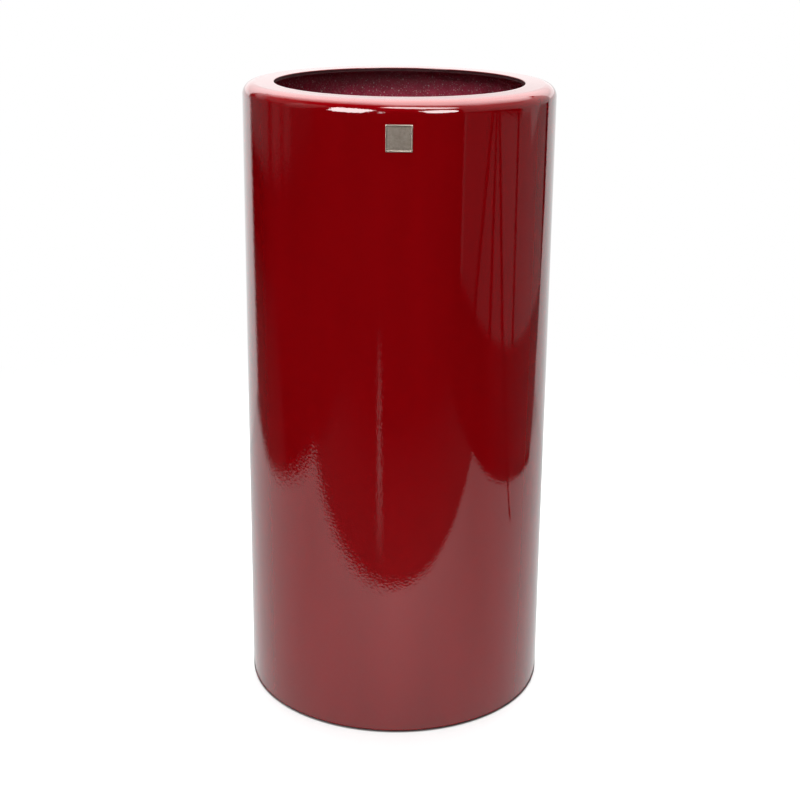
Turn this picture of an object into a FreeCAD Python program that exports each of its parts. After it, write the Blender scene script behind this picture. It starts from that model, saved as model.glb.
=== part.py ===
"""Tall round planter: a lacquered glass-fibre shell with a turned-in rim, a base pan and a raised floor pan
bonded into it from below, a drain plug, rubber foot pads and a small bare metal badge.

Millimetres, +Z up. The origin is on the ground, on the planter's axis, and the badge faces -Y.
"""

import FreeCAD, Part
import math
import os

# Overall form
outer_diameter = 390.0
height = 800.0
mouth_diameter = 312.0
rim_edge_radius = 15.0
base_edge_radius = 3.0

# Shell wall, from the outside in
lacquer_thickness = 0.8
laminate_thickness = 4.2

# Pans bonded into the shell: the base, and the raised floor that carries the soil
pan_thickness = 5.0
pan_skirt_height = 35.0
pan_cove_radius = 8.0
bond_thickness = 1.0
planting_depth = 400.0
base_drain_diameter = 30.0

# Glass tape coved into the corner under the raised floor
tape_leg = 40.0
tape_thickness = 3.0
tape_cove_radius = 12.0

# Drain plug in the raised floor
plug_hole_diameter = 30.0
plug_clearance = 0.3
plug_head_diameter = 46.0
plug_head_height = 5.0
plug_head_edge_radius = 1.5
plug_tip_diameter = 26.0
plug_tip_length = 12.0
plug_grip_width = 26.0
plug_grip_thickness = 7.0
plug_grip_height = 16.0
plug_grip_corner_radius = 8.0

# Foot pads
pad_diameter = 30.0
pad_thickness = 2.5
pad_count = 4
pad_inset = 20.0
first_pad_angle = 45.0

# Badge
badge_side = 31.0
badge_drop = 26.5
badge_thickness = 1.2
badge_border = 1.8
badge_field_depth = 0.35
badge_tape_thickness = 0.5
badge_tape_margin = 1.5

# Radii and heights that follow from the sizes above
outer_radius = outer_diameter / 2
mouth_radius = mouth_diameter / 2
laminate_radius = outer_radius - lacquer_thickness
inner_radius = laminate_radius - laminate_thickness
pan_radius = inner_radius - bond_thickness
base_underside = pad_thickness
lacquer_bottom = base_underside - lacquer_thickness
floor_top = height - planting_depth
floor_underside = floor_top - pan_thickness
flange_top = height - lacquer_thickness
flange_underside = flange_top - laminate_thickness
rim_centre = (outer_radius - rim_edge_radius, height - rim_edge_radius)
base_centre = (outer_radius - base_edge_radius, lacquer_bottom + base_edge_radius)


def profile_point(radius, level):
    """A point of a cross-section: its distance from the axis and its height."""
    return FreeCAD.Vector(radius, 0, level)


def straight(start, end):
    """A straight edge between two (radius, level) points."""
    return Part.LineSegment(profile_point(*start), profile_point(*end)).toShape()


def rounding(centre, radius, first_angle, last_angle):
    """A circular edge about a (radius, level) centre, between two angles in degrees."""
    points = []
    for angle in (first_angle, (first_angle + last_angle) / 2, last_angle):
        turn = math.radians(angle)
        points.append(profile_point(centre[0] + radius * math.cos(turn), centre[1] + radius * math.sin(turn)))
    return Part.Arc(*points).toShape()


def turned(edges):
    """The solid of revolution of a closed cross-section about the planter's axis."""
    section = Part.Face(Part.Wire(edges))
    return section.revolve(FreeCAD.Vector(0, 0, 0), FreeCAD.Vector(0, 0, 1), 360)


def lacquer_skin():
    """The coat: rim top from the mouth outwards, rounded rim edge, wall and rounded bottom edge."""
    return turned([
        straight((mouth_radius, height), (rim_centre[0], height)),
        rounding(rim_centre, rim_edge_radius, 90, 0),
        straight((outer_radius, rim_centre[1]), (outer_radius, base_centre[1])),
        rounding(base_centre, base_edge_radius, 0, -90),
        straight((base_centre[0], lacquer_bottom), (base_centre[0], base_underside)),
        rounding(base_centre, base_edge_radius - lacquer_thickness, -90, 0),
        straight((laminate_radius, base_centre[1]), (laminate_radius, rim_centre[1])),
        rounding(rim_centre, rim_edge_radius - lacquer_thickness, 0, 90),
        straight((rim_centre[0], flange_top), (mouth_radius, flange_top)),
        straight((mouth_radius, flange_top), (mouth_radius, height)),
    ])


def laminate_shell():
    """The wall with its turned-in rim flange, open at the bottom, all of one laminate thickness."""
    rim_outside_radius = rim_edge_radius - lacquer_thickness
    return turned([
        straight((mouth_radius, flange_top), (rim_centre[0], flange_top)),
        rounding(rim_centre, rim_outside_radius, 90, 0),
        straight((laminate_radius, rim_centre[1]), (laminate_radius, base_centre[1])),
        rounding(base_centre, base_edge_radius - lacquer_thickness, 0, -90),
        straight((base_centre[0], base_underside), (inner_radius, base_underside)),
        straight((inner_radius, base_underside), (inner_radius, rim_centre[1])),
        rounding(rim_centre, rim_outside_radius - laminate_thickness, 0, 90),
        straight((rim_centre[0], flange_underside), (mouth_radius, flange_underside)),
        straight((mouth_radius, flange_underside), (mouth_radius, flange_top)),
    ])


def pan(underside, hole_diameter):
    """A round pan with an upturned skirt, a coved inside corner and a hole in its middle."""
    hole_radius = hole_diameter / 2
    face = underside + pan_thickness
    skirt_top = underside + pan_skirt_height
    skirt_radius = pan_radius - pan_thickness
    cove_centre = (skirt_radius - pan_cove_radius, face + pan_cove_radius)
    return turned([
        straight((hole_radius, underside), (pan_radius, underside)),
        straight((pan_radius, underside), (pan_radius, skirt_top)),
        straight((pan_radius, skirt_top), (skirt_radius, skirt_top)),
        straight((skirt_radius, skirt_top), (skirt_radius, cove_centre[1])),
        rounding(cove_centre, pan_cove_radius, 0, -90),
        straight((cove_centre[0], face), (hole_radius, face)),
        straight((hole_radius, face), (hole_radius, underside)),
    ])


def bond_line(underside):
    """The ring of bonding paste between a pan's skirt and the wall."""
    skirt_top = underside + pan_skirt_height
    return turned([
        straight((pan_radius, underside), (inner_radius, underside)),
        straight((inner_radius, underside), (inner_radius, skirt_top)),
        straight((inner_radius, skirt_top), (pan_radius, skirt_top)),
        straight((pan_radius, skirt_top), (pan_radius, underside)),
    ])


def floor_tape():
    """The coved ring of glass tape in the corner between the wall and the raised floor's underside."""
    tape_radius = inner_radius - tape_thickness
    edge_radius = inner_radius - tape_leg
    face = floor_underside - tape_thickness
    tip = floor_underside - tape_leg
    cove_centre = (tape_radius - tape_cove_radius, face - tape_cove_radius)
    return turned([
        straight((inner_radius, floor_underside), (inner_radius, tip)),
        straight((inner_radius, tip), (tape_radius, tip)),
        straight((tape_radius, tip), (tape_radius, cove_centre[1])),
        rounding(cove_centre, tape_cove_radius, 0, 90),
        straight((cove_centre[0], face), (edge_radius, face)),
        straight((edge_radius, face), (edge_radius, floor_underside)),
        straight((edge_radius, floor_underside), (inner_radius, floor_underside)),
    ])


def plug_grip(head_top):
    """The upright lug on the plug's head, with rounded top corners."""
    side = plug_grip_width / 2
    top = head_top + plug_grip_height
    corner = side - plug_grip_corner_radius
    shoulder = top - plug_grip_corner_radius
    outline = Part.Face(Part.Wire([
        straight((-side, floor_top), (-side, shoulder)),
        rounding((-corner, shoulder), plug_grip_corner_radius, 180, 90),
        straight((-corner, top), (corner, top)),
        rounding((corner, shoulder), plug_grip_corner_radius, 90, 0),
        straight((side, shoulder), (side, floor_top)),
        straight((side, floor_top), (-side, floor_top)),
    ]))
    outline.translate(FreeCAD.Vector(0, -plug_grip_thickness / 2, 0))
    return outline.extrude(FreeCAD.Vector(0, plug_grip_thickness, 0))


def drain_plug():
    """The rubber plug: a tapered tip, a stem in the floor's hole, a head on the floor and a grip to pull."""
    stem_radius = plug_hole_diameter / 2 - plug_clearance
    tip_radius = plug_tip_diameter / 2
    tip_bottom = floor_underside - plug_tip_length
    head_radius = plug_head_diameter / 2
    head_top = floor_top + plug_head_height
    edge_centre = (head_radius - plug_head_edge_radius, head_top - plug_head_edge_radius)
    body = turned([
        straight((0, tip_bottom), (tip_radius, tip_bottom)),
        straight((tip_radius, tip_bottom), (stem_radius, floor_underside)),
        straight((stem_radius, floor_underside), (stem_radius, floor_top)),
        straight((stem_radius, floor_top), (head_radius, floor_top)),
        straight((head_radius, floor_top), (head_radius, edge_centre[1])),
        rounding(edge_centre, plug_head_edge_radius, 0, 90),
        straight((edge_centre[0], head_top), (0, head_top)),
        straight((0, head_top), (0, tip_bottom)),
    ])
    return body.fuse(plug_grip(head_top)).removeSplitter()


def foot_pads():
    """Rubber pads under the base pan, evenly spaced round the axis."""
    reach = pan_radius - pad_inset
    pads = []
    for index in range(pad_count):
        turn = math.radians(first_pad_angle + index * 360 / pad_count)
        centre = FreeCAD.Vector(reach * math.cos(turn), reach * math.sin(turn), 0)
        pads.append(Part.makeCylinder(pad_diameter / 2, pad_thickness, centre))
    return Part.makeCompound(pads)


def front_patch(inside_radius, thickness, side):
    """A square piece of tube wall at the badge's place, bent to the planter's curve."""
    bottom = height - badge_drop - badge_side / 2 - side / 2
    seat = profile_point(0, bottom)
    tube = Part.makeCylinder(inside_radius + thickness, side, seat)
    tube = tube.cut(Part.makeCylinder(inside_radius, side, seat))
    reach = inside_radius + 2 * thickness
    window = Part.makeBox(side, reach, side, FreeCAD.Vector(-side / 2, -reach, bottom))
    return tube.common(window)


def badge_tape():
    """The adhesive pad between the coat and the badge."""
    return front_patch(outer_radius, badge_tape_thickness, badge_side - 2 * badge_tape_margin)


def badge_plate():
    """The metal plate with a sunk bare field inside a raised border."""
    back_radius = outer_radius + badge_tape_thickness
    plate = front_patch(back_radius, badge_thickness, badge_side)
    field_radius = back_radius + badge_thickness - badge_field_depth
    field = front_patch(field_radius, badge_thickness, badge_side - 2 * badge_border)
    return plate.cut(field)


planter = {
    "lacquer_skin": lacquer_skin(),
    "laminate_shell": laminate_shell(),
    "base_pan": pan(base_underside, base_drain_diameter),
    "base_bond": bond_line(base_underside),
    "raised_floor": pan(floor_underside, plug_hole_diameter),
    "floor_bond": bond_line(floor_underside),
    "floor_tape": floor_tape(),
    "drain_plug": drain_plug(),
    "foot_pads": foot_pads(),
    "badge_plate": badge_plate(),
    "badge_tape": badge_tape(),
}

os.makedirs("parts", exist_ok=True)
for node, shape in planter.items():
    shape.exportStep("parts/" + node + ".step")
    print(node, "solids", len(shape.Solids), "valid", shape.isValid(), "cm3", round(shape.Volume / 1000, 2))
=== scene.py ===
# %% [markdown]
# # A tall round planter in red lacquer
# The real planter is a glass-fibre tube with a turned-in rim. The outside is sprayed with glossy red
# lacquer, the inside is left as rough laminate, and a small square metal badge is stuck on under the rim.
# The solid model holds every piece at its real size and place, so the script loads it first. The steps
# after that give each piece a finer surface and a finish, and then set up the stage, the light and the
# camera.

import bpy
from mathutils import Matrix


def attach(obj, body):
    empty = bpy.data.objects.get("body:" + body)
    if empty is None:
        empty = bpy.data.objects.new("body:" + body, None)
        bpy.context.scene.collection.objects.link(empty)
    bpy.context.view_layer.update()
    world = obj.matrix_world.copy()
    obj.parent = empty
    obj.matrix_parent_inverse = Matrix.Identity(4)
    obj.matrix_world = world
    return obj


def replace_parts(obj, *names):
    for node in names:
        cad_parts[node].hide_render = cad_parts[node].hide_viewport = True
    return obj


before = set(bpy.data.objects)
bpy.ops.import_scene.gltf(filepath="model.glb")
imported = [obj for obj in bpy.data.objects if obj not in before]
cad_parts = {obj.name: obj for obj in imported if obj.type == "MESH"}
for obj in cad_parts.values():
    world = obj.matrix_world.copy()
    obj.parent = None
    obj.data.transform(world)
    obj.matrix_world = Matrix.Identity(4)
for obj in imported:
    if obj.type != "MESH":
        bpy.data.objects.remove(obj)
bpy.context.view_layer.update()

# %% Python tools
import math

import bmesh
import bpy
import numpy as np
from mathutils import Matrix, Vector

MM = 0.001

# %% [markdown]
# ## Sizes
# A scene that repeats a size in many places is hard to change. All sizes that the surfaces below share
# stand here, once, in millimetres, as they are in the solid model. Blender counts in metres, so the grids
# are multiplied by MM when they become meshes.

# %% Shared sizes in millimetres
outer_radius, height, mouth_radius = 195.0, 800.0, 156.0
rim_edge, base_edge = 15.0, 3.0
coat_thickness, wall_thickness = 0.8, 4.2
coat_bottom, wall_bottom = 1.7, 2.5
wall_radius = outer_radius - coat_thickness
inner_radius = wall_radius - wall_thickness
rim_centre = (outer_radius - rim_edge, height - rim_edge)
base_centre = (outer_radius - base_edge, coat_bottom + base_edge)
flange_top = height - coat_thickness
flange_underside = flange_top - wall_thickness
floor_top, floor_underside, skirt_top = 400.0, 395.0, 430.0
pan_radius, skirt_radius, hole_radius, cove = 189.0, 184.0, 15.0, 8.0
print("planter", 2 * outer_radius, "mm across and", height, "mm high")

# %% [markdown]
# ## Surfaces from grids
# Nearly every piece of a planter is turned or drawn round a closed outline. Blender could make such shapes
# with the Spin tool or with a Screw modifier. Here a shape is a grid of points instead: one index runs
# along a cross-section, the other goes round. That way fine unevenness can be added with one line of array
# arithmetic before the mesh is made, and the same few helpers serve every piece.

# %% Cross-sections and grids
def run(start, end, steps):
    """Points on a straight line from start towards end, without the end itself."""
    return np.linspace(start, end, steps, endpoint=False)


def bend(centre, radius, first, last, steps):
    """Points on a circle about centre, from the first angle towards the last one, in degrees."""
    angle = np.radians(np.linspace(first, last, steps, endpoint=False))
    return np.array(centre) + radius * np.stack([np.cos(angle), np.sin(angle)], axis=-1)


def turned(section, columns):
    """A cross-section carried round the z axis: (r, z) at angle a becomes (r sin a, -r cos a, z)."""
    angle = np.linspace(0, 2 * np.pi, columns, endpoint=False)
    across = np.stack([np.sin(angle), -np.cos(angle), np.zeros(columns)], axis=-1)
    upwards = np.array([0.0, 0.0, 1.0])
    return section[:, :1, None] * across + section[:, 1:, None] * upwards


def sunk(grid, depth):
    """A grid pushed in by depth, against its normal, which is the cross product of its two directions."""
    around = np.roll(grid, -1, axis=1) - np.roll(grid, 1, axis=1)
    along = np.gradient(grid, axis=0)
    normal = np.cross(around, along)
    normal /= np.linalg.norm(normal, axis=-1, keepdims=True) + 1e-12
    return grid - normal * depth[..., None]


def unevenness(grid, longest, shortest, seed, waves=48):
    """A smooth random height from 0 to 1 at each point of a grid. It is a sum of cosine waves through space,
    each with a random direction, phase and wavelength between the two given, so that nothing shows where the
    grid closes."""
    random = np.random.default_rng(seed)
    direction = random.normal(size=(waves, 3))
    direction /= np.linalg.norm(direction, axis=1, keepdims=True)
    length = np.exp(random.uniform(np.log(shortest), np.log(longest), waves))
    phase = random.uniform(0, 2 * np.pi, waves)
    swell = np.cos(grid @ (2 * np.pi * direction / length[:, None]).T + phase) @ length
    return (swell - swell.min()) / (swell.max() - swell.min())


# %% From grids to a piece
def make_piece(name, grids, finish, body, node, ring=True, worn=None):
    """Joins neighbouring points of each grid with four-sided faces. The columns close on themselves. The rows
    do so too where ring is true; otherwise their ends have shrunk to a point, and the doubles there are
    merged. Worn is a number for each point that the finish may read."""
    faces, first = [], 0
    for grid in grids:
        rows, columns = grid.shape[:2]
        index = first + np.arange(rows * columns).reshape(rows, columns)
        index = np.hstack([index, index[:, :1]])
        if ring:
            index = np.vstack([index, index[:1]])
        quads = np.stack([index[:-1, :-1], index[:-1, 1:], index[1:, 1:], index[1:, :-1]], axis=-1)
        faces.append(quads.reshape(-1, 4))
        first += rows * columns
    points = np.concatenate([grid.reshape(-1, 3) for grid in grids]) * MM
    mesh = bpy.data.meshes.new(name)
    mesh.from_pydata(points, [], np.concatenate(faces))
    if worn is not None:
        numbers = mesh.attributes.new("worn", "FLOAT", "POINT").data
        numbers.foreach_set("value", worn.astype(np.float32).ravel())
    surface = bmesh.new()
    surface.from_mesh(mesh)
    if not ring:
        bmesh.ops.remove_doubles(surface, verts=surface.verts, dist=0.001 * MM)
    volume = surface.calc_volume(signed=True)
    surface.to_mesh(mesh)
    surface.free()
    mesh.shade_smooth()
    mesh.set_sharp_from_angle(angle=math.radians(40))
    mesh.materials.append(finish)
    piece = bpy.data.objects.new(name, mesh)
    bpy.context.scene.collection.objects.link(piece)
    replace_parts(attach(piece, body), node)
    mesh.calc_loop_triangles()
    print(name, "triangles", len(mesh.loop_triangles), "volume cm3", round(volume * 1e6, 2))


# %% [markdown]
# ## Finishes from nodes
# A material in Blender is a small network of nodes. Each finish below starts from what the real material
# is, and mixes noise at real sizes in millimetres into its colour, its roughness and its bumps. One helper
# adds a node, sets it and links it, so that a finish reads from top to bottom like a recipe. Inputs go by
# name, or by number where a node has several alike: a Map Range takes the values from 1 to 2 to those from
# 3 to 4, and a Mix blends numbers 2 and 3, or colours 6 and 7, by its factor 0.

# %% Colours and nodes
def linear(colour):
    """An sRGB hex colour as the linear numbers that shaders use."""
    value = np.array([int(colour[i:i + 2], 16) for i in (1, 3, 5)]) / 255
    value = np.where(value <= 0.04045, value / 12.92, ((value + 0.055) / 1.055) ** 2.4)
    return (*value.tolist(), 1.0)


def add(tree, kind, inputs, **settings):
    """Adds one node. Settings are its own properties; inputs are numbers, or other nodes' sockets to link."""
    node = tree.nodes.new("ShaderNode" + kind)
    for name, value in settings.items():
        setattr(node, name, value)
    for name, value in inputs.items():
        if isinstance(value, bpy.types.NodeSocket):
            tree.links.new(value, node.inputs[name])
        else:
            node.inputs[name].default_value = value
    return node


def empty_tree(material):
    """The node tree of a new material or world, with nothing in it yet."""
    material.use_nodes = True
    material.node_tree.nodes.clear()
    return material.node_tree


# %% [markdown]
# ## Red lacquer
# The coat is two-pack polyurethane lacquer, sprayed over gelcoat and left glossy. The eye sees a deep red
# body under a clear, hard shine. The shine is almost a mirror, with a faint grain where the spray did not
# flow out flat, which painters call orange peel. The Principled shader has that build: a coloured base, and
# a clear coat over it.

# %% Finish: sprayed polyurethane lacquer
lacquer = bpy.data.materials.new("sprayed_polyurethane_lacquer")
tree = empty_tree(lacquer)
place = add(tree, "TexCoord", {}).outputs["Object"]
# The gun went up and down, so the colour varies in upright bands about 60 mm wide and 400 mm long.
passes = add(tree, "Mapping", {"Vector": place, "Scale": (60 * MM, 60 * MM, 400 * MM)}, vector_type="TEXTURE")
cloud = add(tree, "TexNoise", {"Vector": passes.outputs[0], "Scale": 1.0, "Detail": 2.0})
red = add(tree, "Mix", {0: cloud.outputs[0], 6: linear("#740105"), 7: linear("#880309")}, data_type="RGBA")
# Orange peel is about 2 mm from crest to crest, drawn at 3 mm so that it shows. It is heavier on the left
# side and fades to a third of that on the right, within 80 mm of the middle.
peel = add(tree, "TexNoise", {"Vector": place, "Scale": 1 / (3 * MM), "Detail": 1.0})
across = add(tree, "SeparateXYZ", {0: place})
heavier = add(tree, "MapRange", {0: across.outputs["X"], 1: -0.08, 2: 0.08, 3: 1.0, 4: 0.3})
grain = add(tree, "Math", {0: peel.outputs[0], 1: heavier.outputs[0]}, operation="MULTIPLY")
ripple = add(tree, "Bump", {"Strength": 1.0, "Distance": 0.12 * MM, "Height": grain.outputs[0]})
shine = add(tree, "BsdfPrincipled", {
    "Base Color": red.outputs[2], "Roughness": 0.06, "IOR": 1.5, "Specular IOR Level": 0.25,
    "Coat Weight": 1.0, "Coat Roughness": 0.015, "Coat IOR": 1.5,
    "Normal": ripple.outputs[0], "Coat Normal": ripple.outputs[0],
})
add(tree, "OutputMaterial", {"Surface": shine.outputs[0]})
print(lacquer.name, "nodes", len(tree.nodes))

# %% [markdown]
# ### The coat
# On the real planter the lacquer covers the rim, the wall and the bottom edge, and stops at the edge of the
# mouth. A hand-laid wall is never quite true: it swells and dips by a few hundredths of a millimetre, which
# only shows in the way reflections waver. That waviness is real shape here. It only sinks the surface and
# never raises it, so the planter keeps its size.

# %% Piece: the lacquer coat
# An extra row of points close to each rounding keeps the straight stretches beside it straight in smooth
# shading.
extra, mouth_edge, waviness = 1.0, 0.5, 0.10
wall_low, wall_high = base_centre[1] + extra, rim_centre[1] - extra
outside = np.concatenate([
    run((base_centre[0], wall_bottom), (base_centre[0], coat_bottom), 2),
    bend(base_centre, base_edge, -90, 0, 10),
    run((outer_radius, base_centre[1]), (outer_radius, wall_low), 1),
    run((outer_radius, wall_low), (outer_radius, wall_high), 132),
    run((outer_radius, wall_high), (outer_radius, rim_centre[1]), 1),
    bend(rim_centre, rim_edge, 0, 90, 28),
    run((rim_centre[0], height), (rim_centre[0] - extra, height), 1),
    run((rim_centre[0] - extra, height), (mouth_radius + mouth_edge, height), 9),
    bend((mouth_radius + mouth_edge, height - mouth_edge), mouth_edge, 90, 180, 5),
])
inside = np.concatenate([
    run((mouth_radius, height - mouth_edge), (mouth_radius, flange_top), 1),
    run((mouth_radius, flange_top), (rim_centre[0], flange_top), 3),
    bend(rim_centre, rim_edge - coat_thickness, 90, 0, 10),
    run((wall_radius, rim_centre[1]), (wall_radius, base_centre[1]), 3),
    bend(base_centre, base_edge - coat_thickness, 0, -90, 4),
])
coat = turned(np.concatenate([outside, inside]), 384)
dip = waviness * unevenness(coat, longest=260, shortest=70, seed=3)
# The side that lies on the shell and the bottom edge stay true.
dip[len(outside):] = 0
dip[:3] = 0
make_piece("lacquer_coat", [sunk(coat, dip)], lacquer, "planter", "lacquer_skin")

# %% [markdown]
# ## Rough laminate
# The inside is chopped-strand glass mat in polyester resin that was tinted dark maroon. The brush leaves
# lumps, the strands show as paler, slightly raised threads in all directions, and broken fibre ends show as
# pale specks with a painted glint. Straight noise would look like stone, so the threads are noise that is
# stretched along four directions in space. Painted shade darkens the corner under the flange.

# %% Finish: glass-fibre laminate
laminate = bpy.data.materials.new("hand_laid_glass_fibre_laminate")
tree = empty_tree(laminate)
place = add(tree, "TexCoord", {}).outputs["Object"]
# A strand is about 30 mm long and, drawn a little coarser than the real 0.5 mm so that it shows, 1.6 mm wide.
threads = None
for turn in ((0.3, 0.9, 0.2), (1.4, 0.4, 1.1), (0.2, 2.1, 2.0), (2.3, 1.2, 0.6)):
    stretched = add(tree, "Mapping", {
        "Vector": place, "Rotation": turn, "Scale": (30 * MM, 1.6 * MM, 1.6 * MM),
    }, vector_type="TEXTURE")
    strand = add(tree, "TexNoise", {"Vector": stretched.outputs[0], "Scale": 1.0, "Detail": 1.0})
    if threads is None:
        threads = strand
    else:
        threads = add(tree, "Math", {0: threads.outputs[0], 1: strand.outputs[0]}, operation="MAXIMUM")
thread = add(tree, "MapRange", {0: threads.outputs[0], 1: 0.56, 2: 0.74})
lumps = add(tree, "TexNoise", {"Vector": place, "Scale": 1 / (14 * MM), "Detail": 3.0})
body = add(tree, "Mix", {0: lumps.outputs[0], 6: linear("#6E182C"), 7: linear("#CC3E60")}, data_type="RGBA")
wetted = add(tree, "Math", {0: thread.outputs[0], 1: 0.45}, operation="MULTIPLY")
veined = add(tree, "Mix", {0: wetted.outputs[0], 6: body.outputs[2], 7: linear("#A9606E")}, data_type="RGBA")
# Specks are pale fibre ends with a painted glint: faint ones in 2.4 mm cells, and bright ones in some of
# the 5 mm cells, drawn at about twice their real 1 mm so that they show.
maroon = veined
for cell, size, least, most in ((2.4, 0.8, 0.25, 0.8), (5.0, 1.2, 0.2, 1.0)):
    cells = add(tree, "TexVoronoi", {"Vector": place, "Scale": 1 / (cell * MM), "Randomness": 1.0})
    speck = add(tree, "MapRange", {0: cells.outputs["Distance"], 1: size / cell, 2: 0.5 * size / cell})
    chance = add(tree, "SeparateColor", {0: cells.outputs["Color"]})
    chosen = add(tree, "MapRange", {0: chance.outputs[0], 1: least, 2: 1.0, 3: 0.0, 4: most})
    pale_speck_and_glint = add(tree, "Math", {0: speck.outputs[0], 1: chosen.outputs[0]}, operation="MULTIPLY")
    maroon = add(tree, "Mix", {
        0: pale_speck_and_glint.outputs[0], 6: maroon.outputs[2], 7: linear("#DDBCC0"),
    }, data_type="RGBA")
# Bare resin is nearly black. It shows at the cut edge of the mouth, and where it pools on the flat floor.
# The same dark colour is painted shade in the corner under the flange, where the flange shades the wall.
resin_and_painted_shade = add(tree, "Attribute", {}, attribute_name="worn")
bare_resin_and_shade = add(tree, "Mix", {
    0: resin_and_painted_shade.outputs["Fac"], 6: maroon.outputs[2], 7: linear("#2A0A0E"),
}, data_type="RGBA")
gloss = add(tree, "MapRange", {0: lumps.outputs[0], 1: 0.3, 2: 0.7, 3: 0.65, 4: 0.8})
relief = add(tree, "Math", {0: thread.outputs[0], 1: lumps.outputs[0]}, operation="ADD")
rough = add(tree, "Bump", {"Strength": 0.8, "Distance": 0.5 * MM, "Height": relief.outputs[0]})
resin = add(tree, "BsdfPrincipled", {
    "Base Color": bare_resin_and_shade.outputs[2], "Roughness": gloss.outputs[0], "IOR": 1.55, "Specular IOR Level": 0.15,
    "Normal": rough.outputs[0],
})
add(tree, "OutputMaterial", {"Surface": resin.outputs[0]})
print(laminate.name, "nodes", len(tree.nodes))

# %% [markdown]
# ### The shell
# The shell is the part that carries everything: the wall, and the flange that it turns in at the top. Its
# bare edge shows as a dark line round the mouth. The mould gave it a true outside, under the lacquer, and
# the brush an uneven inside. So only the rows of the grid that lie inside are sunk into the wall by up to
# half a millimetre.

# %% Piece: the laminate shell
bead_room, tape_leg, brush_depth = 8.0, 40.0, 0.5
rough_end, tape_low = skirt_top + bead_room, floor_underside - tape_leg
smooth_side = np.concatenate([
    run((inner_radius, wall_bottom), (base_centre[0], wall_bottom), 1),
    bend(base_centre, base_edge - coat_thickness, -90, 0, 4),
    run((wall_radius, base_centre[1]), (wall_radius, rim_centre[1]), 3),
    bend(rim_centre, rim_edge - coat_thickness, 0, 90, 10),
    run((rim_centre[0], flange_top), (mouth_radius, flange_top), 3),
])
rough_side = np.concatenate([
    run((mouth_radius, flange_top), (mouth_radius, flange_underside), 4),
    run((mouth_radius, flange_underside), (rim_centre[0], flange_underside), 8),
    bend(rim_centre, rim_edge - coat_thickness - wall_thickness, 90, 0, 10),
    run((inner_radius, rim_centre[1]), (inner_radius, rough_end), 110),
])
buried_side = np.concatenate([
    run((inner_radius, rough_end), (inner_radius, tape_low), 3),
    run((inner_radius, tape_low), (inner_radius, wall_bottom), 3),
])
shell = turned(np.concatenate([smooth_side, rough_side, buried_side]), 360)
brushed = brush_depth * unevenness(shell, longest=40, shortest=13, seed=8, waves=64)
brushed[:len(smooth_side) + 1] = 0
brushed[-len(buried_side):] = 0
shell = sunk(shell, brushed)
# Bare resin: all of it on the cut edge. Painted shade: darker and darker towards the flange over the last 36
# mm.
cut_width, shade_height, shade_most = 1.5, 36.0, 0.7
cut_edge = np.hypot(shell[..., 0], shell[..., 1]) < mouth_radius + cut_width
painted_shade_under_flange = np.clip((shell[..., 2] - (height - shade_height)) / shade_height, 0, shade_most)
make_piece("laminate_wall", [shell], laminate, "planter", "laminate_shell",
           worn=np.where(cut_edge, 1.0, painted_shade_under_flange))

# %% [markdown]
# ### The raised floor
# Half way up, a round pan carries the soil. It is the same laminate, laid in a tray mould, with an upturned
# skirt and a coved corner. It could be a disc and a ring, but one cross-section carried round the axis
# gives both and the cove between them. The top is uneven from the brush, and true only where the plug's
# head seals.

# %% Piece: the raised floor
skirt_edge, brush_depth, pool_share = 1.0, 0.6, 0.5
tray = np.concatenate([
    run((hole_radius, floor_underside), (pan_radius, floor_underside), 6),
    run((pan_radius, floor_underside), (pan_radius, skirt_top), 2),
    bend((pan_radius - skirt_edge, skirt_top - skirt_edge), skirt_edge, 0, 90, 4),
    run((pan_radius - skirt_edge, skirt_top), (skirt_radius + skirt_edge, skirt_top), 2),
    bend((skirt_radius + skirt_edge, skirt_top - skirt_edge), skirt_edge, 90, 180, 4),
    run((skirt_radius, skirt_top - skirt_edge), (skirt_radius, floor_top + cove), 8),
    bend((skirt_radius - cove, floor_top + cove), cove, 0, -90, 8),
    run((skirt_radius - cove, floor_top), (hole_radius, floor_top), 60),
    run((hole_radius, floor_top), (hole_radius, floor_underside), 2),
])
pan = turned(tray, 300)
brushed = brush_depth * unevenness(pan, longest=70, shortest=18, seed=11, waves=64)
# The underside and the outside stay true, and so does the seat of the plug's head, out to 26 mm from the
# axis.
seat_radius, seat_fade = 26.0, 14.0
from_axis = np.hypot(pan[..., 0], pan[..., 1])
topside = (pan[..., 2] > floor_underside + 1) * (from_axis < skirt_radius + 1)
brushed *= np.clip((from_axis - seat_radius) / seat_fade, 0, 1) * topside
make_piece("floor_pan", [sunk(pan, brushed)], laminate, "planter", "raised_floor",
           worn=np.full(pan.shape[:2], pool_share))

# %% [markdown]
# ### Bonding paste
# The pan is pushed up into a ring of thick polyester paste, which squeezes out over the top of the skirt
# and sets there as an uneven bead. A bead is a good place for a second use of the same noise: here it
# changes the size of the cross-section from place to place instead of moving the finished surface.

# %% Finish: polyester bonding paste
paste = bpy.data.materials.new("polyester_bonding_paste")
tree = empty_tree(paste)
place = add(tree, "TexCoord", {}).outputs["Object"]
streaks = add(tree, "TexNoise", {"Vector": place, "Scale": 1 / (9 * MM), "Detail": 4.0})
dull = add(tree, "Mix", {0: streaks.outputs[0], 6: linear("#5C2A30"), 7: linear("#8B5A5C")}, data_type="RGBA")
pits = add(tree, "Bump", {"Strength": 0.6, "Distance": 0.4 * MM, "Height": streaks.outputs[0]})
set_paste = add(tree, "BsdfPrincipled", {
    "Base Color": dull.outputs[2], "Roughness": 0.6, "IOR": 1.55, "Normal": pits.outputs[0],
})
add(tree, "OutputMaterial", {"Surface": set_paste.outputs[0]})
print(paste.name, "nodes", len(tree.nodes))

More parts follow.
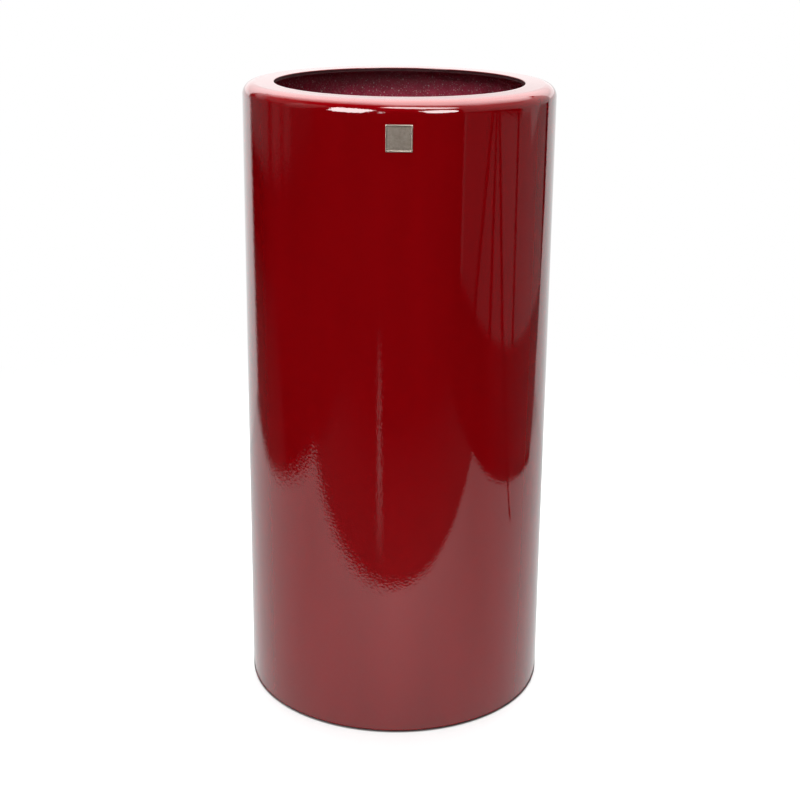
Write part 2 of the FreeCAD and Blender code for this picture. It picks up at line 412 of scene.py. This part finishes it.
# %% Piece: the bead of paste above the floor's skirt
bead_size, least_bead, columns = 6.0, 0.35, 300
bead = np.concatenate([
    run((pan_radius, floor_underside), (inner_radius, floor_underside), 1),
    run((inner_radius, floor_underside), (inner_radius, skirt_top + bead_size), 4),
    bend((inner_radius, skirt_top), bead_size, 90, 180, 9),
    run((inner_radius - bead_size, skirt_top), (pan_radius, skirt_top), 2),
    run((pan_radius, skirt_top), (pan_radius, floor_underside), 2),
])
# One ring of points along the bead says how far it is squeezed out at each angle.
along_bead = turned(bead, columns)[8]
squeezed = least_bead + (1 - least_bead) * unevenness(along_bead, longest=60, shortest=9, seed=21)
radius, level = bead[:, :1], bead[:, 1:]
radius = np.where(radius < pan_radius, pan_radius - (pan_radius - radius) * squeezed, radius)
level = np.where(level > skirt_top, skirt_top + (level - skirt_top) * squeezed, level)
angle = np.linspace(0, 2 * np.pi, columns, endpoint=False)
paste_ring = np.stack([radius * np.sin(angle), -radius * np.cos(angle), level], axis=-1)
make_piece("paste_bead", [paste_ring], paste, "planter", "floor_bond")

# %% [markdown]
# ## Pieces that keep their solid shape
# The base pan, its bond line, the tape under the raised floor and the foam behind the badge are plain
# shapes that hardly show. Their solids are right as they are, so they only get a finish. Woven glass tape
# differs from chopped mat: two crossing sets of bands make its cloth pattern.

# %% Finish: woven glass tape in resin
tape = bpy.data.materials.new("woven_glass_tape_in_resin")
tree = empty_tree(tape)
place = add(tree, "TexCoord", {}).outputs["Object"]
# The yarns lie 4 mm apart. At a scale of 1, the bands of a wave texture lie 0.314 m apart.
yarns = {"Vector": place, "Scale": 0.314 / (4 * MM), "Distortion": 1.5}
warp = add(tree, "TexWave", yarns, bands_direction="Z")
weft = add(tree, "TexWave", yarns, bands_direction="DIAGONAL")
weave = add(tree, "Math", {0: warp.outputs["Fac"], 1: weft.outputs["Fac"]}, operation="MULTIPLY")
cloth = add(tree, "Mix", {0: weave.outputs[0], 6: linear("#4E1722"), 7: linear("#7D3A47")}, data_type="RGBA")
crossed = add(tree, "Bump", {"Strength": 0.5, "Distance": 0.3 * MM, "Height": weave.outputs[0]})
wet_cloth = add(tree, "BsdfPrincipled", {
    "Base Color": cloth.outputs[2], "Roughness": 0.45, "IOR": 1.55, "Normal": crossed.outputs[0],
})
add(tree, "OutputMaterial", {"Surface": wet_cloth.outputs[0]})
print(tape.name, "nodes", len(tree.nodes))

# %% Finish: closed-cell foam
foam = bpy.data.materials.new("closed_cell_adhesive_foam")
tree = empty_tree(foam)
place = add(tree, "TexCoord", {}).outputs["Object"]
bubbles = add(tree, "TexVoronoi", {"Vector": place, "Scale": 1 / (0.4 * MM)})
dark = add(tree, "Mix", {
    0: bubbles.outputs["Distance"], 6: linear("#1F1D1C"), 7: linear("#3A3634"),
}, data_type="RGBA")
cut = add(tree, "Bump", {"Strength": 0.5, "Distance": 0.1 * MM, "Height": bubbles.outputs["Distance"]})
edge = add(tree, "BsdfPrincipled", {
    "Base Color": dark.outputs[2], "Roughness": 0.85, "Normal": cut.outputs[0],
})
add(tree, "OutputMaterial", {"Surface": edge.outputs[0]})
print(foam.name, "nodes", len(tree.nodes))

# %% Finishes on the solids that stay
plain_pieces = {"base_pan": laminate, "base_bond": paste, "floor_tape": tape, "badge_tape": foam}
for node, finish in plain_pieces.items():
    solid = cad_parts[node]
    solid.data.materials.clear()
    solid.data.materials.append(finish)
    print(node, "wears", finish.name)

# %% [markdown]
# ## Rubber
# The drain plug and the foot pads are moulded black rubber. Rubber is matt, picks up dust, and has a fine
# grain from the mould. The plug is turned like the rest, but its grip is not round. It is drawn as rings:
# the grip's outline shrinks towards its middle as the rings go from one face to the other.

# %% Finish: moulded black rubber
rubber = bpy.data.materials.new("moulded_black_rubber")
tree = empty_tree(rubber)
place = add(tree, "TexCoord", {}).outputs["Object"]
dust = add(tree, "TexNoise", {"Vector": place, "Scale": 1 / (11 * MM), "Detail": 5.0})
powder = add(tree, "MapRange", {0: dust.outputs[0], 1: 0.45, 2: 0.75, 3: 0.0, 4: 0.35})
black = add(tree, "Mix", {0: powder.outputs[0], 6: linear("#232221"), 7: linear("#5B4A48")}, data_type="RGBA")
skin = add(tree, "TexNoise", {"Vector": place, "Scale": 1 / (0.5 * MM), "Detail": 2.0})
pebbled = add(tree, "Bump", {"Strength": 0.4, "Distance": 0.06 * MM, "Height": skin.outputs[0]})
moulded = add(tree, "BsdfPrincipled", {
    "Base Color": black.outputs[2], "Roughness": 0.62, "IOR": 1.52, "Normal": pebbled.outputs[0],
})
add(tree, "OutputMaterial", {"Surface": moulded.outputs[0]})
print(rubber.name, "nodes", len(tree.nodes))

# %% The round part of the drain plug
stem_radius, tip_radius, tip_low, tip_edge = 14.7, 13.0, floor_underside - 12, 1.0
head_radius, head_top, head_edge, lip_edge = 23.0, floor_top + 5, 1.5, 0.6
plug_section = np.concatenate([
    run((0, tip_low), (tip_radius - tip_edge, tip_low), 4),
    bend((tip_radius - tip_edge, tip_low + tip_edge), tip_edge, -90, 0, 4),
    run((tip_radius, tip_low + tip_edge), (stem_radius, floor_underside), 6),
    run((stem_radius, floor_underside), (stem_radius, floor_top), 3),
    run((stem_radius, floor_top), (head_radius - lip_edge, floor_top), 4),
    bend((head_radius - lip_edge, floor_top + lip_edge), lip_edge, -90, 0, 4),
    run((head_radius, floor_top + lip_edge), (head_radius, head_top - head_edge), 3),
    bend((head_radius - head_edge, head_top - head_edge), head_edge, 0, 90, 7),
    run((head_radius - head_edge, head_top), (0, head_top), 6),
    [(0, head_top)],
])
plug_body = turned(plug_section, 96)
print("plug from", tip_low, "to", head_top, "mm")


# %% Piece: the drain plug with its grip
def shrunk(outline, middle, half, inset, rounded):
    """Rings of an outline: each is the outline pulled in by inset, to a point in the middle where inset
    reaches half its size, and moved along the third axis by rounded."""
    scale = np.clip(1 - inset[:, None] / np.array(half), 0, 1)
    ring = np.array(middle) + (outline - np.array(middle))[None] * scale[:, None, :]
    third = np.broadcast_to(rounded[:, None, None], ring.shape[:2] + (1,))
    return np.concatenate([ring, third], axis=-1)


grip_side, grip_face, grip_corner, grip_edge = 13.0, 3.5, 8.0, 1.5
grip_low, grip_top = floor_top + 2, floor_top + 21
flat, shoulder = grip_side - grip_corner, grip_top - grip_corner
grip_outline = np.concatenate([
    run((-grip_side, grip_low), (grip_side, grip_low), 20),
    run((grip_side, grip_low), (grip_side, shoulder), 14),
    bend((flat, shoulder), grip_corner, 0, 90, 14),
    run((flat, grip_top), (-flat, grip_top), 8),
    bend((-flat, shoulder), grip_corner, 90, 180, 14),
    run((-grip_side, shoulder), (-grip_side, grip_low), 14),
])
# The rings go from the middle of one face over two softened edges to the middle of the other.
turn = np.radians(np.linspace(0, 90, 7))
edge_inset, edge_out = grip_edge * (1 - np.sin(turn)), grip_face - grip_edge + grip_edge * np.cos(turn)
inset = np.concatenate([[16.0, 4.0], edge_inset, edge_inset[::-1], [4.0, 16.0]])
sideways = np.concatenate([[grip_face, grip_face], edge_out, -edge_out[::-1], [-grip_face, -grip_face]])
grip_middle, grip_half = (0, (grip_low + grip_top) / 2), (grip_side, (grip_top - grip_low) / 2)
rings = shrunk(grip_outline, grip_middle, grip_half, inset, sideways)
# Over the last 3 mm above the head, the grip grows up to 35 percent thicker.
root_height, root_swell = 3.0, 0.35
root = 1 + root_swell * np.clip(1 - (rings[..., 1] - head_top) / root_height, 0, 1) ** 2
grip = np.stack([rings[..., 0], rings[..., 2] * root, rings[..., 1]], axis=-1)[::-1]
make_piece("plug", [plug_body, grip], rubber, "plug", "drain_plug", ring=False)

# %% Piece: the foot pads
pad_radius, pad_edge, pad_inset = 15.0, 0.8, 20.0
pad_section = np.concatenate([
    run((0, 0), (pad_radius - pad_edge, 0), 4),
    bend((pad_radius - pad_edge, pad_edge), pad_edge, -90, 0, 5),
    run((pad_radius, pad_edge), (pad_radius, wall_bottom), 2),
    run((pad_radius, wall_bottom), (0, wall_bottom), 4),
    [(0, wall_bottom)],
])
pads = []
for quarter in np.radians([45, 135, 225, 315]):
    pad_centre = (pan_radius - pad_inset) * np.array([np.cos(quarter), np.sin(quarter), 0])
    pads.append(turned(pad_section, 64) + pad_centre)
make_piece("pads", pads, rubber, "planter", "foot_pads", ring=False)

# %% [markdown]
# ## Badge
# A small square of antique nickel, stuck on under the rim and bent to the wall's curve. It has a raised
# border, and its field is left bare. Antique nickel is plated metal that was darkened and then rubbed back,
# so the crests are bright and the corners below them stay brown. The surface carries that as a number, 1 on
# the crests and 0 in the corner, which the finish reads as an attribute.

# %% Finish: antique nickel plating
nickel = bpy.data.materials.new("antique_nickel_plating")
tree = empty_tree(nickel)
place = add(tree, "TexCoord", {}).outputs["Object"]
rubbed = add(tree, "Attribute", {}, attribute_name="worn")
mottle = add(tree, "TexNoise", {"Vector": place, "Scale": 1 / (3 * MM), "Detail": 4.0})
brushing = add(tree, "Mapping", {
    "Vector": place, "Scale": (9 * MM, 9 * MM, 0.25 * MM),
}, vector_type="TEXTURE")
lines = add(tree, "TexNoise", {"Vector": brushing.outputs[0], "Scale": 1.0, "Detail": 2.0})
uneven = add(tree, "Mix", {0: 0.35, 2: mottle.outputs[0], 3: lines.outputs[0]})
shade = add(tree, "Math", {0: rubbed.outputs["Fac"], 1: uneven.outputs[0]}, operation="ADD")
bright = add(tree, "MapRange", {0: shade.outputs[0], 1: 0.25, 2: 1.35})
metal = add(tree, "Mix", {0: bright.outputs[0], 6: linear("#362C26"), 7: linear("#B8AB9E")}, data_type="RGBA")
satin = add(tree, "MapRange", {0: shade.outputs[0], 1: 0.3, 2: 1.4, 3: 0.55, 4: 0.28})
scratched = add(tree, "Bump", {"Strength": 0.5, "Distance": 0.03 * MM, "Height": uneven.outputs[0]})
plated = add(tree, "BsdfPrincipled", {
    "Base Color": metal.outputs[2], "Metallic": 1.0, "Roughness": satin.outputs[0],
    "Normal": scratched.outputs[0],
})
add(tree, "OutputMaterial", {"Surface": plated.outputs[0]})
print(nickel.name, "nodes", len(tree.nodes))

# %% Piece: the badge
badge_side, badge_low, foam_thickness, corner = 31.0, 742.5, 0.5, 0.8
half, badge_back = badge_side / 2, outer_radius + foam_thickness
square = np.concatenate([
    run((-half + corner, -half), (half - corner, -half), 36),
    bend((half - corner, -half + corner), corner, -90, 0, 6),
    run((half, -half + corner), (half, half - corner), 36),
    bend((half - corner, half - corner), corner, 0, 90, 6),
    run((half - corner, half), (-half + corner, half), 36),
    bend((-half + corner, half - corner), corner, 90, 180, 6),
    run((-half, half - corner), (-half, -half + corner), 36),
    bend((-half + corner, -half + corner), corner, 180, 270, 6),
])
# Each row: how far in from the outline, how far out from the back, and how far it is rubbed bright.
rows = np.array([
    (half, 0.0, 0.3), (1.0, 0.0, 0.3), (0.2, 0.0, 0.3), (0.0, 0.2, 0.4), (0.0, 0.9, 0.6), (0.08, 1.08, 0.9),
    (0.3, 1.2, 1.0), (0.8, 1.2, 0.95), (1.3, 1.2, 1.0), (1.55, 1.1, 0.8), (1.75, 0.92, 0.1), (2.0, 0.85, 0.0),
    (2.5, 0.85, 0.18), (3.2, 0.85, 0.35), (4.5, 0.85, 0.45), (6.0, 0.85, 0.5), (8.0, 0.85, 0.5),
    (10.0, 0.85, 0.5), (12.0, 0.85, 0.5), (14.0, 0.85, 0.5), (half, 0.85, 0.5),
])
rings = shrunk(square, (0, 0), (half, half), rows[:, 0], rows[:, 1])
# The field, which starts 2 mm in from the outline, is dented by up to 0.05 mm.
dents = 0.05 * unevenness(rings, longest=9, shortest=3, seed=5) * (rows[:, :1] > 2)
out = badge_back + rings[..., 2] - dents
badge_grid = np.stack([
    rings[..., 0], -np.sqrt(out ** 2 - rings[..., 0] ** 2), rings[..., 1] + badge_low + half,
], axis=-1)
worn = np.broadcast_to(rows[:, 2:], rings.shape[:2])
make_piece("badge", [badge_grid], nickel, "planter", "badge_plate", ring=False, worn=worn)

# %% [markdown]
# ## Stage
# The planter stands on white paper in a dim room. The camera only sees white: the floor glows a little for
# camera rays, so that it is white where it is lit and still takes the planter's soft shadow. What the
# lacquer reflects is a separate matter. Cards that only glossy rays can see stand for the sheet of paper,
# the paper behind, the room beyond, and the bright windows of the lamps. Each card is a few triangles,
# given by its corners in metres. Where they lie was found by following mirror rays from the camera, by way
# of the wall and the rim, into the room.

# %% Floor
reach = 30.0
floor_mesh = bpy.data.meshes.new("studio_floor")
floor_mesh.from_pydata([(-reach, -reach, 0), (reach, -reach, 0), (reach, reach, 0), (-reach, reach, 0)], [],
                       [(0, 1, 2, 3)])
studio_floor = bpy.data.objects.new("studio_floor", floor_mesh)
bpy.context.scene.collection.objects.link(studio_floor)
studio_floor.visible_glossy = False
white = bpy.data.materials.new("white_studio_floor")
tree = empty_tree(white)
rays = add(tree, "LightPath", {})
place = add(tree, "TexCoord", {}).outputs["Object"]
distance = add(tree, "VectorMath", {0: place}, operation="LENGTH")
far = add(tree, "MapRange", {0: distance.outputs["Value"], 1: 0.7, 2: 1.6}, interpolation_type="SMOOTHSTEP")
seen_far = add(tree, "Math", {0: far.outputs[0], 1: rays.outputs["Is Camera Ray"]}, operation="MULTIPLY")
# Under the foot the glow is left out: a painted contact shadow, a dark line where the planter stands.
glow_outside_painted_shadow = add(tree, "MapRange", {
    0: distance.outputs["Value"], 1: (outer_radius - 2) * MM, 2: outer_radius * MM, 3: 0.0, 4: 0.52,
})
half_glow = add(tree, "Math", {
    0: rays.outputs["Is Camera Ray"], 1: glow_outside_painted_shadow.outputs[0],
}, operation="MULTIPLY")
paper_white = add(tree, "MapRange", {0: rays.outputs["Is Camera Ray"], 3: 0.76, 4: 0.5})
matt = add(tree, "BsdfDiffuse", {"Color": paper_white.outputs[0]})
glow = add(tree, "Emission", {"Strength": half_glow.outputs[0]})
lit = add(tree, "AddShader", {0: matt.outputs[0], 1: glow.outputs[0]})
pure = add(tree, "Emission", {"Strength": 1.0})
blend = add(tree, "MixShader", {0: seen_far.outputs[0], 1: lit.outputs[0], 2: pure.outputs[0]})
add(tree, "OutputMaterial", {"Surface": blend.outputs[0]})
floor_mesh.materials.append(white)
print(studio_floor.name, "metres across", 2 * reach)

# %% Cards that show in the gloss
card_light = bpy.data.materials.new("card_light")
tree = empty_tree(card_light)
strength = add(tree, "Attribute", {}, attribute_name="glow")
light = add(tree, "Emission", {"Strength": strength.outputs["Fac"]})
add(tree, "OutputMaterial", {"Surface": light.outputs[0]})


def card(name, corners, glow, middle=None, middle_glow=None):
    """A sheet that only glossy rays see: triangles from a middle point to each side of its outline. Glow is
    one strength, or one for each corner, and it fades evenly from point to point."""
    points = np.array(corners, dtype=float)
    count = len(points)
    glow = np.broadcast_to(np.array(glow, dtype=float), count)
    if middle is None:
        middle, middle_glow = points.mean(axis=0), glow.mean()
    first = np.arange(count)
    triangles = np.stack([first, np.roll(first, -1), 0 * first + count], axis=1)
    mesh = bpy.data.meshes.new(name)
    mesh.from_pydata(np.vstack([points, middle]), [], triangles)
    mesh.attributes.new("glow", "FLOAT", "POINT").data.foreach_set("value", np.append(glow, middle_glow))
    mesh.materials.append(card_light)
    plane = bpy.data.objects.new(name, mesh)
    bpy.context.scene.collection.objects.link(plane)
    plane.visible_camera = plane.visible_diffuse = plane.visible_shadow = False
    plane.visible_transmission = plane.visible_volume_scatter = False
    print("card", name, "corners", count)


# %% Paper on the floor and behind
# The paper is brightest in front, and darker near the planter, which keeps light off it: a painted shadow.
# Behind, it rises and narrows. At the rim and above, the paper behind is dimmer in the middle: the
# planter's shadow on it, painted into the cards.
card("paper_sheet", [
    (-0.99, -0.58, 0), (0, -0.62, 0), (0.95, -0.67, 0), (0.945, 0.07, 0), (0.90, 0.41, 0), (1.00, 0.555, 0),
    (1.20, 0.81, 0), (-1.115, 0.81, 0), (-0.98, 0.52, 0), (-0.945, 0.23, 0),
], (0.8, 1.15, 0.62, 0.58, 0.56, 0.56, 0.55, 0.62, 0.66, 0.7), (0, 0, 0), 0.7)
card("paper_behind", [
    (-1.115, 0.81, 0), (1.20, 0.81, 0), (0.98, 0.81, 0.435), (0.96, 0.81, 0.845), (-0.95, 0.81, 0.845),
    (-1.01, 0.81, 0.345),
], (0.75, 0.60, 0.66, 0.78, 0.95, 0.84))
card("paper_at_rim", [
    (-0.83, 0.74, 0.84), (0, 0.74, 0.84), (0.84, 0.74, 0.84), (0.84, 0.74, 0.96), (0, 0.74, 0.96),
    (-0.83, 0.74, 0.96),
], (1.5, 1.25, 1.5, 1.5, 0.9, 1.5), (0.05, 0.74, 0.92), 0.85)
card("paper_above", [
    (-0.83, 0.74, 0.96), (0.05, 0.74, 0.96), (0.84, 0.74, 0.96), (0.87, 0.74, 2.1), (-0.9, 0.74, 2.1),
], (1.2, 0.9, 1.2, 4.2, 4.2), (0, 0.74, 1.5), 2.5)
# Little light gets under the foot, so the rounding of the bottom edge mirrors a dim disc, 4 mm wider than
# the wall.
shade_edge = np.array([(outer_radius + 4, 0.6)])
card("shade_under_foot", turned(shade_edge, 60)[0] * MM, 0.1)

# %% The lamp overhead
# The lamp fades softly on all sides, from a bright outline to a dim one. Each row: x, y and strength.
lamp_level = 2.1
lamp_inner = np.array([(-0.80, 1.50, 3.0), (-0.55, 0.50, 4.7), (-0.25, 0.05, 5.0), (0.00, -0.32, 5.5),
                       (0.46, -0.32, 5.3), (0.80, 0.00, 5.0), (0.90, 0.50, 4.5), (1.20, 1.20, 3.5)])
lamp_outer = np.array([(-2.30, 1.50, 0.2), (-1.45, 0.10, 0.3), (-0.90, -0.40, 0.3), (-0.10, -0.82, 0.5),
                       (0.60, -0.85, 0.8), (1.50, -0.60, 0.5), (2.50, 0.65, 0.4), (2.80, 1.50, 0.3)])


def overhead(name, rows):
    """A level card as high as the lamp, from rows of x, y and strength."""
    card(name, np.column_stack([rows[:, :2], np.full(len(rows), lamp_level)]), rows[:, 2])


overhead("lamp_middle", lamp_inner)
for side in range(len(lamp_inner)):
    pair = [side, (side + 1) % len(lamp_inner)]
    overhead("lamp_edge_%d" % side, np.vstack([lamp_outer[pair], lamp_inner[pair[::-1]]]))
overhead("ceiling_left", np.array([(-1.6, 0.1, 0.15), (-2.3, 1.5, 0.18), (-6.0, 1.8, 0.15), (-7.0, -1.9, 0.2),
                                   (-3.0, -0.7, 0.5), (-1.5, -0.3, 0.1)]))
overhead("ceiling_right", np.array([(1.5, -0.6, 0.45), (2.6, 0.65, 0.4), (6.0, 0.8, 0.2), (6.0, -3.3, 0.2),
                                    (3.1, -1.8, 0.6), (2.0, -1.0, 0.35)]))

# %% The room beyond the paper
# On the right, a wall in strips with dark gaps between them. Each side of a strip has its y at the foot and
# at the top.
wall_place, strip_top = 1.84, 0.55
for name, first, last, glow in (
    ("wall_right_1", (-1.855, -1.80), (-1.77, -1.71), 0.15),
    ("wall_right_2", (-1.77, -1.71), (-1.29, -0.81), 0.07),
    ("wall_right_3", (-1.195, -0.725), (-0.75, -0.69), 0.11),
    ("wall_right_4", (-0.66, -0.627), (-0.327, -0.616), 0.13),
    ("wall_right_5", (-0.24, -0.55), (0.018, -0.013), 0.16),
    ("wall_right_6", (0.083, 0.051), (1.5, 1.5), 0.17),
):
    card(name, [
        (wall_place, first[0], 0), (wall_place, last[0], 0),
        (wall_place, last[1], strip_top), (wall_place, first[1], strip_top),
    ], glow)
# On the left, a wall further off, in upright panels between two (x, y) points.
panel_top = 1.5
for name, first, last, glow in (
    ("wall_left_1", (-4.83, -2.44), (-4.47, -0.55), 0.03),
    ("wall_left_2", (-4.47, -0.55), (-4.35, 0.03), 0.10),
    ("wall_left_3", (-4.31, 0.21), (-4.17, 0.95), 0.10),
    ("wall_left_4", (-4.11, 1.25), (-3.39, 6.14), 0.10),
):
    card(name, [(*first, 0), (*last, 0), (*last, panel_top), (*first, panel_top)], glow)
# What lies on the floor: its pale parts, a cable, and a long gleam.
card("floor_right", [
    (0.95, -0.48, 0), (wall_place, -0.86, 0), (wall_place, 1.5, 0), (0.95, 0.74, 0), (0.95, 0.01, 0),
], (0, 0, 0.08, 0.09, 0.04))
card("floor_left", [
    (-0.99, -0.1, 0), (-1.0, 0.875, 0), (-2.2, 2.1, 0), (-2.38, 0.32, 0),
], (0.03, 0.07, 0.02, 0))
card("floor_in_front", [
    (-0.99, -0.58, 0), (0.95, -0.67, 0), (0.98, -1.4, 0), (-0.98, -1.4, 0),
], (0.07, 0.07, 0, 0))
card("cable_on_floor", [
    (1.80, -0.246, 0.002), (1.80, -0.213, 0.002), (0.76, -0.007, 0.002), (0.76, -0.029, 0.002),
], 0)
card("gleam_on_floor", [
    (-0.157, -0.67, 0), (-0.084, -0.67, 0), (-0.406, -2.0, 0), (-0.482, -2.0, 0),
], (0.03, 0.03, 0, 0), (-0.233, -1.185, 0.001), 0.75)

# %% [markdown]
# ## Light
# Plain soft studio light: a large softbox on the left of the camera, a weak one on its right, one above the
# planter and one behind, and a pale world for the shadows. They are set so that a colour renders about as
# it is written. Their windows are cards too, so the lamps themselves stay out of the reflections.

# %% Softboxes
def softbox(name, place, width, depth, watts, aim=(0, 0, 0.45)):
    """A rectangular lamp at place that faces a point on the axis, a little above the planter's middle."""
    lamp = bpy.data.lights.new(name, "AREA")
    lamp.shape, lamp.size, lamp.size_y, lamp.energy = "RECTANGLE", width, depth, watts
    box = bpy.data.objects.new(name, lamp)
    box.location = place
    box.rotation_mode = "QUATERNION"
    box.rotation_quaternion = (Vector(aim) - Vector(place)).to_track_quat("-Z", "Y")
    box.visible_camera = box.visible_glossy = False
    bpy.context.scene.collection.objects.link(box)
    print("softbox", name, watts, "watts")


softbox("key", (-0.95, -3.0, 3.0), 1.8, 2.0, 79)
softbox("fill_right", (2.2, -0.9, 2.2), 1.2, 1.4, 4)
softbox("top", (0.0, 0.3, 2.6), 1.6, 1.6, 112)
softbox("behind", (0.3, 2.4, 1.6), 1.6, 1.4, 20)


# %% Windows of the lamps
def window(name, outline, glow, away=2.0, rim_front=(0.0, -0.19, 0.79)):
    """A card some metres away from the front of the rim. Its corners are bearings to the right, from straight
    ahead, and elevations, in degrees."""
    bearing, elevation = np.radians(outline).T
    towards = np.stack([np.sin(bearing), -np.cos(bearing), np.tan(elevation)], axis=1)
    card(name, np.array(rim_front) + away * towards, glow)


window("lamp_window_left", [
    (-53, 5), (-47, -2), (-35, -3), (-29, -1), (-24, 6), (-19, 19), (-20, 25), (-29, 29), (-36, 31),
    (-46, 33), (-53, 29),
], 13.0)
window("lamp_window_right", [
    (14, 19), (19, 10), (22, 3), (27, 1), (33, 1), (38, 4), (43, 5), (45, 12), (43, 20), (38, 24), (32, 25),
    (27, 24), (20, 22),
], 12.5)
window("lamp_window_high", [
    (-17, 48), (-8, 44), (8, 40), (20, 38), (33, 36), (45, 34), (51, 36), (48, 42), (40, 47), (28, 51),
    (10, 56), (-8, 57), (-16, 54),
], 10.5)
window("lamp_window_small", [(-14.5, -2), (-12, -2), (-12, 12), (-14.5, 12)], 7.0)
# Faint light from the upper walls draws a thin line along the rim's rounding.
window("upper_wall_right", [
    (48, -1), (70, -1), (90, -3), (108, -10), (125, -6), (142, -4), (142, 26), (125, 26), (110, 24), (90, 10),
    (74, 24), (64, 46), (50, 46),
], (0.15, 0.15, 0.3, 0.36, 0.4, 0.5, 0.9, 0.6, 0.7, 0.33, 0.5, 0.5, 0.5))
window("upper_wall_left", [
    (-56, 26), (-60, 20), (-70, 8), (-76, -3), (-90, -3), (-92, 10), (-90, 22), (-84, 30), (-74, 36),
    (-62, 36),
], (0.2, 0.1, 0.25, 0.1, 0.1, 0.3, 0.6, 0.8, 0.4, 0.3))
window("wall_behind_left", [
    (-112, 8), (-118, 20), (-125, 27), (-136, 30), (-142, 24), (-134, 14), (-124, 4),
], (0.1, 0.2, 0.4, 1.1, 1.1, 0.4, 0.1))

# %% World
world = bpy.data.worlds.new("pale_room")
tree = empty_tree(world)
rays = add(tree, "LightPath", {})
ambient = add(tree, "Mix", {0: rays.outputs["Is Glossy Ray"], 2: 0.19, 3: 0.0})
seen = add(tree, "Mix", {0: rays.outputs["Is Camera Ray"], 2: ambient.outputs[0], 3: 1.0})
sky = add(tree, "Background", {"Strength": seen.outputs[0]})
add(tree, "OutputWorld", {"Surface": sky.outputs[0]})
bpy.context.scene.world = world
print(world.name, "nodes", len(tree.nodes))

# %% [markdown]
# ## Camera
# The view was found by fitting a camera to the planter's outline: both sides, the foot, the mouth and the
# rim. The picture is turned by half a degree, and its lens axis lies a little above its middle. A small
# shift of the lens gives that, so that the sides keep their lean.

# %% Camera
# The fit gives the focal length and the shift in pixels of an 800 pixel picture, the angles in degrees.
picture, focal_length, axis_shift = 800, 1504.07, -40
downwards, rightwards, rolled = 17.0108, 0.1149, 0.5460
lens = bpy.data.cameras.new("camera")
lens.sensor_width = 36.0
lens.lens = focal_length / picture * lens.sensor_width
lens.shift_y = axis_shift / picture
camera = bpy.data.objects.new("camera", lens)
tilt = Matrix.Rotation(math.radians(90 - downwards), 4, "X")
turn = Matrix.Rotation(math.radians(-rightwards), 4, "Z")
roll = Matrix.Rotation(math.radians(rolled), 4, "Z")
camera.matrix_world = Matrix.Translation((0, -1.88912, 1.01525)) @ turn @ tilt @ roll
bpy.context.scene.collection.objects.link(camera)
bpy.context.scene.camera = camera
bpy.context.scene.view_settings.view_transform = "Standard"
print("lens", round(lens.lens, 2), "mm, shift", lens.shift_y)

# %% Final update of the view layer
bpy.context.view_layer.update()
